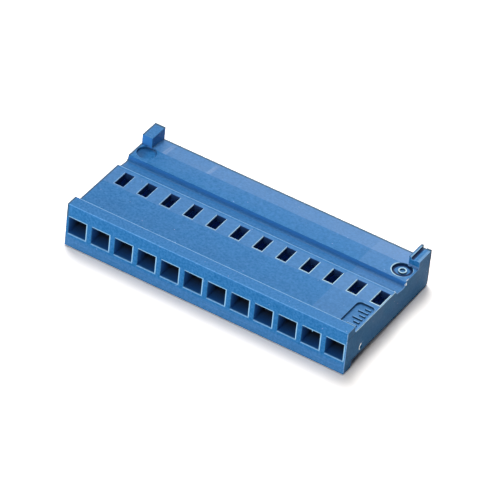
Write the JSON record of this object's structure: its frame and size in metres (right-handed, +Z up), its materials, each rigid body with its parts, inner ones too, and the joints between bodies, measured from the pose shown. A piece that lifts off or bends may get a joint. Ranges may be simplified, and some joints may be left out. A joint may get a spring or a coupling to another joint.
{
  "type": "crimp connector housing",
  "caption": "Flat moulded plastic housing for crimped wire terminals, with a row of square cavities in a raised rim, lance windows on top, a cross groove and end posts at the mating face.",
  "frame": {"origin": "centre of the bottom of the bounding box, level with the foot of the rim", "axes": "+X along the row of terminals, +Y from the wire face to the mating face, +Z up through the deck with the windows"},
  "size_m": [0.0304, 0.015, 0.0051],
  "materials": {
    "housing_plastic": "fine matte moulded texture"
  },
  "bodies": {
    "root": {"housing": "housing_plastic"}
  },
  "joints": []
}
